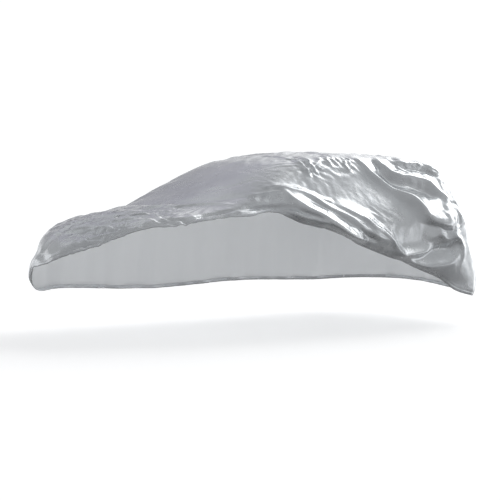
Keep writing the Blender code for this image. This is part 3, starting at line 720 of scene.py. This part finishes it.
# ---------------------------------------------------------------- wrinkles
def simulated(ring):
    """The ring after a short cloth simulation that lets loose cloth buckle round the drape."""
    columns, rows = ring.shape[0], ring.shape[1] - 1
    kept, marks = kept_columns(columns, SIM_NEAR_STEP, SIM_FAR_STEP)
    coarse = ring[kept][:, ::SIM_ROW_STEP]
    cloth_rows = rows // SIM_ROW_STEP
    cloth = mesh_object("loose_cloth", coarse, sheet_faces(marks, cloth_rows))
    count = len(coarse) * (cloth_rows + 1)
    held = cloth.vertex_groups.new(name="held")
    held.add(list(range(count)), SIM_HOLD, "REPLACE")
    taut = cloth.vertex_groups.new(name="taut")
    for index, share in enumerate(slackness(ring)[kept][:, ::SIM_ROW_STEP].ravel()):
        taut.add([index], 1.0 - float(share), "REPLACE")
    modifier = cloth.modifiers.new("Cloth", "CLOTH")
    settings = modifier.settings
    settings.quality = 4
    settings.mass = 0.2
    settings.tension_stiffness = 12
    settings.compression_stiffness = 12
    settings.shear_stiffness = 6
    settings.bending_stiffness = 0.4
    settings.air_damping = 2
    settings.vertex_group_mass = "held"
    settings.pin_stiffness = 0.6
    settings.vertex_group_shrink = "taut"
    settings.shrink_min = -SIM_EXTRA
    settings.shrink_max = 0.0
    settings.effector_weights.gravity = 0.3
    modifier.collision_settings.use_collision = False
    modifier.point_cache.frame_start = 1
    modifier.point_cache.frame_end = SIM_FRAMES
    scene = bpy.context.scene
    for frame_number in range(1, SIM_FRAMES + 1):
        scene.frame_set(frame_number)
    result = cloth.evaluated_get(bpy.context.evaluated_depsgraph_get())
    moved = np.zeros(count * 3)
    result.data.vertices.foreach_get("co", moved)
    scene.frame_set(1)
    shift = moved.reshape(coarse.shape) - coarse
    far_first = marks[-1] + 1
    partners = marks[-2:0:-1]
    shift[far_first:, 0] = shift[partners, 0]
    length = np.linalg.norm(shift, axis=2)
    shift *= (np.tanh(length / SIM_LIMIT) * SIM_LIMIT / np.maximum(length, 1e-9))[:, :, None]
    bpy.data.objects.remove(cloth)
    return ring + spread(shift, kept, columns, rows)


def slackness(ring):
    normal = outward_normals(ring)
    share = np.full(ring.shape[:2], BASE_SLACK)
    far_side = (ring[:, :, 1] > 0) * smooth_step(0.2, 0.8, normal[:, :, 1])
    share += far_side * (FAR_SIDE_SLACK - share)
    for zone in SLACKS:
        mask = zone_mask(ring, normal, zone)
        share += mask * (zone.share - share)
    return share


def zone_mask(ring, normal, zone):
    flat, facing = seen_from(ring, normal, zone.face)
    off = (flat - np.array(zone.spot)) / np.array(zone.size)
    return smooth_step(1.3, 0.45, np.hypot(off[:, :, 0], off[:, :, 1])) * smooth_step(0.0, 0.3, facing)


def spread(shift, kept, columns, rows):
    """A coarse grid of moves, spread smoothly over the whole ring."""
    row_marks = np.arange(shift.shape[1]) * SIM_ROW_STEP
    by_row = np.empty((len(kept), rows + 1, 3))
    for column in range(len(kept)):
        for axis in range(3):
            by_row[column, :, axis] = np.interp(np.arange(rows + 1), row_marks, shift[column, :, axis])
    whole = np.empty((columns, rows + 1, 3))
    for row in range(rows + 1):
        for axis in range(3):
            whole[:, row, axis] = np.interp(
                np.arange(columns), kept, by_row[:, row, axis], period=columns
            )
    for _ in range(SIM_SMOOTHING):
        whole = 0.5 * whole + 0.25 * (np.roll(whole, 1, axis=0) + np.roll(whole, -1, axis=0))
        whole[:, 1:-1] = 0.5 * whole[:, 1:-1] + 0.25 * (whole[:, 2:] + whole[:, :-2])
    return whole


def crease_noise(places, wavelength):
    """Sharp crests, with hollows between them that go below zero."""
    scaled = places / wavelength
    values = [noise.noise(Vector(spot)) for spot in scaled]
    return CREST_LEVEL - np.abs(np.array(values)) * HOLLOW_DEPTH


def zone_lift(ring, normal, zone):
    mask = zone_mask(ring, normal, zone)
    inside = mask > 0.001
    flat = seen_from(ring, normal, zone.face)[0]
    turn = math.radians(zone.direction)
    first = flat[inside][:, 0]
    second = flat[inside][:, 1]
    along = (math.cos(turn) * first + math.sin(turn) * second) / zone.stretch
    across = math.cos(turn) * second - math.sin(turn) * first
    places = np.column_stack([along, across, np.full(len(along), ZONE_OFFSET * len(zone.name))])
    crumple = crease_noise(places, zone.wavelength)
    crumple += FINE_SHARE * crease_noise(places + FINE_OFFSET, 0.5 * zone.wavelength)
    lift = np.zeros(mask.shape)
    lift[inside] = zone.depth * mask[inside] * crumple
    return lift


def crinkled(ring):
    normal = outward_normals(ring)
    lift = np.zeros(ring.shape[:2])
    for zone in ZONES:
        lift += zone_lift(ring, normal, zone)
    points = ring.reshape(-1, 3)
    loose = TAUT_SHARE + (1 - TAUT_SHARE) * np.minimum(slackness(ring) / BASE_SLACK, 1.0)
    for wavelength, depth in ALL_OVER:
        lift += depth * loose * crease_noise(points, wavelength).reshape(lift.shape)
    calm = smooth_step(0.0, HEM_CALM, distance_above_hem(ring))
    left = HEM_CRINKLE_SHARE + (1 - HEM_CRINKLE_SHARE) * calm
    return ring + (lift * left)[:, :, None] * normal


def tucked(ring, way_round):
    """The ring with its lowest strip turned inwards, as the hem draws it in."""
    share = np.clip(1.0 - distance_above_hem(ring) / HEM_TUCK_REACH, 0.0, 1.0)
    outward = outward_normals(ring)[:, -1]
    outward[:, 2] *= HEM_CURL
    for _ in range(HEM_EVENING):
        outward = (np.roll(outward, 1, axis=0) + outward + np.roll(outward, -1, axis=0)) / 3
    outward /= np.linalg.norm(outward, axis=1)[:, None]
    depth = smooth_curve(HEM_TUCKS, way_round)[:, None] * share**HEM_TUCK_POWER
    return ring - depth[:, :, None] * outward[:, None]


def distance_above_hem(ring):
    steps = np.linalg.norm(np.diff(ring, axis=1), axis=2)
    above = np.zeros(ring.shape[:2])
    above[:, :-1] = np.cumsum(steps[:, ::-1], axis=1)[:, ::-1]
    return above


# ---------------------------------------------------------------- hem
def with_hem(ring):
    """Adds the hem's own rows: a flat band under a stitched groove, turned under at the edge."""
    columns = []
    for column in ring:
        length = total_length(column)
        run = np.concatenate([[0.0], np.cumsum(np.linalg.norm(np.diff(column, axis=0), axis=1))])
        start = length - HEM_WIDTH
        kept = run[run < start - HEM_START_GAP]
        keep = len(ring[0]) - HEM_GIVEN_ROWS
        main = np.interp(np.linspace(0, 1, keep), np.linspace(0, 1, len(kept)), kept)
        band = np.linspace(start, length, HEM_ROWS)
        columns.append(at_lengths(column, np.concatenate([main, band])))
    ring = np.array(columns)
    normal = outward_normals(ring)
    groove = ring.shape[1] - HEM_ROWS
    ring[:, groove] -= GROOVE_DEPTH * normal[:, groove]
    down = ring[:, -1] - ring[:, -2]
    down /= np.linalg.norm(down, axis=1)[:, None]
    inward = -normal[:, -1]
    edge = ring[:, -1]
    half = 0.5 * HEM_THICKNESS
    turned = [
        edge + half * (turn.inward * inward + turn.down * down) - turn.up * HEM_WIDTH * down
        for turn in HEM_TURN
    ]
    return np.concatenate([ring, np.stack(turned, axis=1)], axis=1), groove


def stitches(ring, normal, groove, material):
    """Short threads along the groove of the hem."""
    line = np.concatenate([ring[:, groove], ring[:1, groove]])
    out = np.concatenate([normal[:, groove], normal[:1, groove]])
    girth = total_length(line)
    pitch = STITCH_LENGTH + STITCH_GAP
    count = int(girth / pitch)
    centres = (np.arange(count) + 0.5) * girth / count
    run = np.concatenate([[0.0], np.cumsum(np.linalg.norm(np.diff(line, axis=0), axis=1))])
    points, faces = [], []
    for centre in centres:
        ends = at_lengths(line, np.array([centre - STITCH_LENGTH / 2, centre, centre + STITCH_LENGTH / 2]))
        up = np.array([np.interp(centre, run, column) for column in out.T])
        up /= np.linalg.norm(up)
        along = ends[2] - ends[0]
        along /= np.linalg.norm(along)
        side = np.cross(along, up)
        first = len(points)
        rings = ((ends[0], 0.1, 0.5), (ends[1], 1.0, 1.0), (ends[2], 0.1, 0.5))
        for k, (spot, lift, wide) in enumerate(rings):
            middle = spot + up * lift * STITCH_WIDTH
            for angle in (0, 90, 180, 270):
                turn = math.radians(angle)
                reach = 0.5 * STITCH_WIDTH * wide
                points.append(middle + reach * (math.cos(turn) * side + math.sin(turn) * up))
        for ring_number in (0, 1):
            for k in range(4):
                a = first + ring_number * 4 + k
                b = first + ring_number * 4 + (k + 1) % 4
                faces.append((a, b, b + 4, a + 4))
        faces.append((first, first + 3, first + 2, first + 1))
        faces.append((first + 8, first + 9, first + 10, first + 11))
    thread = mesh_object("hem_stitching", np.array(points), faces)
    thread.data.materials.append(material)
    thread.data.shade_smooth()
    return thread


# ---------------------------------------------------------------- materials
def node(tree, kind, **inputs):
    new = tree.nodes.new(kind)
    for name, value in inputs.items():
        new.inputs[name.replace("_", " ")].default_value = value
    return new


def silver_cloth():
    material = bpy.data.materials.new("silver_cloth")
    material.use_nodes = True
    tree = material.node_tree
    link = tree.links.new
    shader = tree.nodes["Principled BSDF"]
    shader.inputs["Metallic"].default_value = 0.80
    shader.inputs["Sheen Weight"].default_value = 0.1
    place = node(tree, "ShaderNodeTexCoord")

    cloud = node(tree, "ShaderNodeTexNoise", Scale=2.2, Detail=3.0, Roughness=0.55)
    link(place.outputs["Object"], cloud.inputs["Vector"])
    tone = tree.nodes.new("ShaderNodeValToRGB")
    tone.color_ramp.elements[0].position = 0.30
    tone.color_ramp.elements[0].color = (0.60, 0.62, 0.64, 1)
    tone.color_ramp.elements[1].position = 0.70
    tone.color_ramp.elements[1].color = (0.72, 0.74, 0.755, 1)
    link(cloud.outputs["Fac"], tone.inputs["Fac"])
    link(tone.outputs["Color"], shader.inputs["Base Color"])

    patch = node(tree, "ShaderNodeTexNoise", Scale=9.0, Detail=4.0, Roughness=0.6)
    link(place.outputs["Object"], patch.inputs["Vector"])
    gloss = node(tree, "ShaderNodeMapRange")
    gloss.inputs["From Min"].default_value = 0.3
    gloss.inputs["From Max"].default_value = 0.7
    gloss.inputs["To Min"].default_value = 0.20
    gloss.inputs["To Max"].default_value = 0.29
    link(patch.outputs["Fac"], gloss.inputs["Value"])
    link(gloss.outputs["Result"], shader.inputs["Roughness"])

    crinkle = node(tree, "ShaderNodeTexNoise", Scale=26.0, Detail=5.0, Roughness=0.55)
    link(place.outputs["Object"], crinkle.inputs["Vector"])
    crinkle_bump = node(tree, "ShaderNodeBump", Strength=0.30, Distance=0.006)
    link(crinkle.outputs["Fac"], crinkle_bump.inputs["Height"])
    link(crinkle_bump.outputs["Normal"], shader.inputs["Normal"])
    inside_finish(tree, shader)
    return material


def inside_finish(tree, outside):
    """The uncoated inner face of the cloth: matte, off-white."""
    link = tree.links.new
    inside = node(tree, "ShaderNodeBsdfDiffuse", Color=(0.78, 0.79, 0.80, 1), Roughness=0.9)
    which = tree.nodes.new("ShaderNodeNewGeometry")
    mix = tree.nodes.new("ShaderNodeMixShader")
    link(which.outputs["Backfacing"], mix.inputs["Fac"])
    link(outside.outputs["BSDF"], mix.inputs[1])
    link(inside.outputs["BSDF"], mix.inputs[2])
    link(mix.outputs["Shader"], tree.nodes["Material Output"].inputs["Surface"])


def thread_material():
    material = bpy.data.materials.new("thread")
    material.use_nodes = True
    shader = material.node_tree.nodes["Principled BSDF"]
    shader.inputs["Base Color"].default_value = (0.40, 0.41, 0.42, 1)
    shader.inputs["Roughness"].default_value = 0.6
    return material


# ---------------------------------------------------------------- stage
def floor(height):
    work = bmesh.new()
    bmesh.ops.create_circle(work, cap_ends=True, segments=96, radius=FLOOR_RADIUS)
    mesh = bpy.data.meshes.new("floor")
    work.to_mesh(mesh)
    work.free()
    thing = bpy.data.objects.new("floor", mesh)
    thing.location.z = height
    bpy.context.scene.collection.objects.link(thing)
    material = bpy.data.materials.new("floor")
    material.use_nodes = True
    shader = material.node_tree.nodes["Principled BSDF"]
    shader.inputs["Base Color"].default_value = (0.92, 0.92, 0.92, 1)
    shader.inputs["Roughness"].default_value = 0.9
    shader.inputs["Emission Color"].default_value = (1, 1, 1, 1)
    shader.inputs["Emission Strength"].default_value = FLOOR_GLOW
    mesh.materials.append(material)
    thing.visible_glossy = False


def studio_world():
    """Light by direction: a white backdrop, a greyer room, a dark floor side and soft boxes."""
    world = bpy.data.worlds.new("studio")
    world.use_nodes = True
    tree = world.node_tree
    link = tree.links.new
    place = tree.nodes.new("ShaderNodeTexCoord")
    parts = tree.nodes.new("ShaderNodeSeparateXYZ")
    link(place.outputs["Generated"], parts.inputs["Vector"])
    height = tree.nodes.new("ShaderNodeMapRange")
    height.inputs["From Min"].default_value = -1.0
    link(parts.outputs["Z"], height.inputs["Value"])
    behind = tree.nodes.new("ShaderNodeVectorMath")
    behind.operation = "DOT_PRODUCT"
    behind.inputs[1].default_value = direction(BACKDROP_AZIMUTH, 0)
    link(place.outputs["Generated"], behind.inputs[0])
    side = tree.nodes.new("ShaderNodeMapRange")
    side.interpolation_type = "SMOOTHSTEP"
    side.inputs["From Min"].default_value = BACKDROP_EDGE[0]
    side.inputs["From Max"].default_value = BACKDROP_EDGE[1]
    link(behind.outputs["Value"], side.inputs["Value"])
    both_skies = tree.nodes.new("ShaderNodeMix")
    both_skies.data_type = "RGBA"
    link(side.outputs["Result"], both_skies.inputs["Factor"])
    for socket, tones in ((6, [row.room for row in SKY]), (7, [row.backdrop for row in SKY])):
        sky = tree.nodes.new("ShaderNodeValToRGB")
        ramp = sky.color_ramp
        while len(ramp.elements) < len(SKY):
            ramp.elements.new(0.5)
        for stop, row, tone in zip(ramp.elements, SKY, tones):
            stop.position = 0.5 + 0.5 * math.sin(math.radians(row.elevation))
            stop.color = (tone, tone * 1.01, tone * 1.03, 1)
        link(height.outputs["Result"], sky.inputs["Fac"])
        link(sky.outputs["Color"], both_skies.inputs[socket])
    total = both_skies.outputs[2]
    for glow in GLOWS:
        towards = tree.nodes.new("ShaderNodeVectorMath")
        towards.operation = "DOT_PRODUCT"
        towards.inputs[1].default_value = direction(glow.azimuth, glow.elevation)
        link(place.outputs["Generated"], towards.inputs[0])
        kept_part = tree.nodes.new("ShaderNodeMath")
        kept_part.operation = "MAXIMUM"
        kept_part.inputs[1].default_value = 0.0
        link(towards.outputs["Value"], kept_part.inputs[0])
        focus = tree.nodes.new("ShaderNodeMath")
        focus.operation = "POWER"
        focus.inputs[1].default_value = glow.focus
        link(kept_part.outputs["Value"], focus.inputs[0])
        tint = tree.nodes.new("ShaderNodeVectorMath")
        tint.operation = "SCALE"
        tint.inputs[0].default_value = [glow.strength * channel for channel in glow.colour]
        link(focus.outputs["Value"], tint.inputs["Scale"])
        both = tree.nodes.new("ShaderNodeVectorMath")
        link(total, both.inputs[0])
        link(tint.outputs["Vector"], both.inputs[1])
        total = both.outputs["Vector"]
    background = tree.nodes["Background"]
    link(total, background.inputs["Color"])
    background.inputs["Strength"].default_value = 1.0
    bpy.context.scene.world = world


def direction(azimuth, elevation):
    """Unit vector, with the azimuth in degrees from +Y towards +X."""
    a, e = math.radians(azimuth), math.radians(elevation)
    return Vector((math.sin(a) * math.cos(e), math.cos(a) * math.cos(e), math.sin(e)))


def photo_camera(origin):
    heading = math.radians(CAMERA_HEADING)
    down = math.radians(CAMERA_DOWN)
    roll = math.radians(CAMERA_ROLL)
    back = Vector((-math.sin(heading) * math.cos(down), -math.cos(heading) * math.cos(down),
                   math.sin(down)))
    level = back.cross(Vector((0, 0, 1))).normalized() * -1
    upright = back.cross(level)
    right = math.cos(roll) * level + math.sin(roll) * upright
    up = math.cos(roll) * upright - math.sin(roll) * level
    data = bpy.data.cameras.new("camera")
    data.lens = CAMERA_LENS
    data.sensor_width = 36.0
    data.clip_end = 1000.0
    camera = bpy.data.objects.new("camera", data)
    turn = Matrix((right, up, back)).transposed().to_4x4()
    camera.matrix_world = Matrix.Translation(Vector(CAMERA_PLACE) - Vector(origin)) @ turn
    bpy.context.scene.collection.objects.link(camera)
    bpy.context.scene.camera = camera


# ---------------------------------------------------------------- the scene
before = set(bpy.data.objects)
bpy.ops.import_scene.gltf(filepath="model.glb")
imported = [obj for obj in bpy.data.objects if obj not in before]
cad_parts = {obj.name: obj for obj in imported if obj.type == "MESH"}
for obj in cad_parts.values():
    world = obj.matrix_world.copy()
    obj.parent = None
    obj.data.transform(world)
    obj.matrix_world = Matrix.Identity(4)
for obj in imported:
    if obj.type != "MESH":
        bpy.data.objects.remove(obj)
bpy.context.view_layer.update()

ring, way_round = folded_ring()
normal = outward_normals(ring)
spine = ring[: len(ring) // 2 + 1, 0] - THICKNESS * normal[: len(ring) // 2 + 1, 0]
origin = np.array([ROOF_REST_X, 0.0, np.interp(ROOF_REST_X, spine[:, 0], spine[:, 2])])
ring = simulated(ring)
ring = tucked(crinkled(ring), way_round)
ring, groove = with_hem(ring)
ring -= origin
normal = outward_normals(ring)

kept, marks = kept_columns(len(ring), 1, FAR_STEP)
cloth = mesh_object("cover_cloth", ring[kept], sheet_faces(marks, ring.shape[1] - 1))
remove_loose(cloth)
cloth.data.materials.append(silver_cloth())
cloth.data.shade_smooth()
thread = stitches(ring, normal, groove, thread_material())

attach(cloth, "root")
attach(thread, "root")
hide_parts("cover")

floor(-origin[2])
studio_world()
photo_camera(origin)
bpy.context.scene.view_settings.view_transform = "Standard"
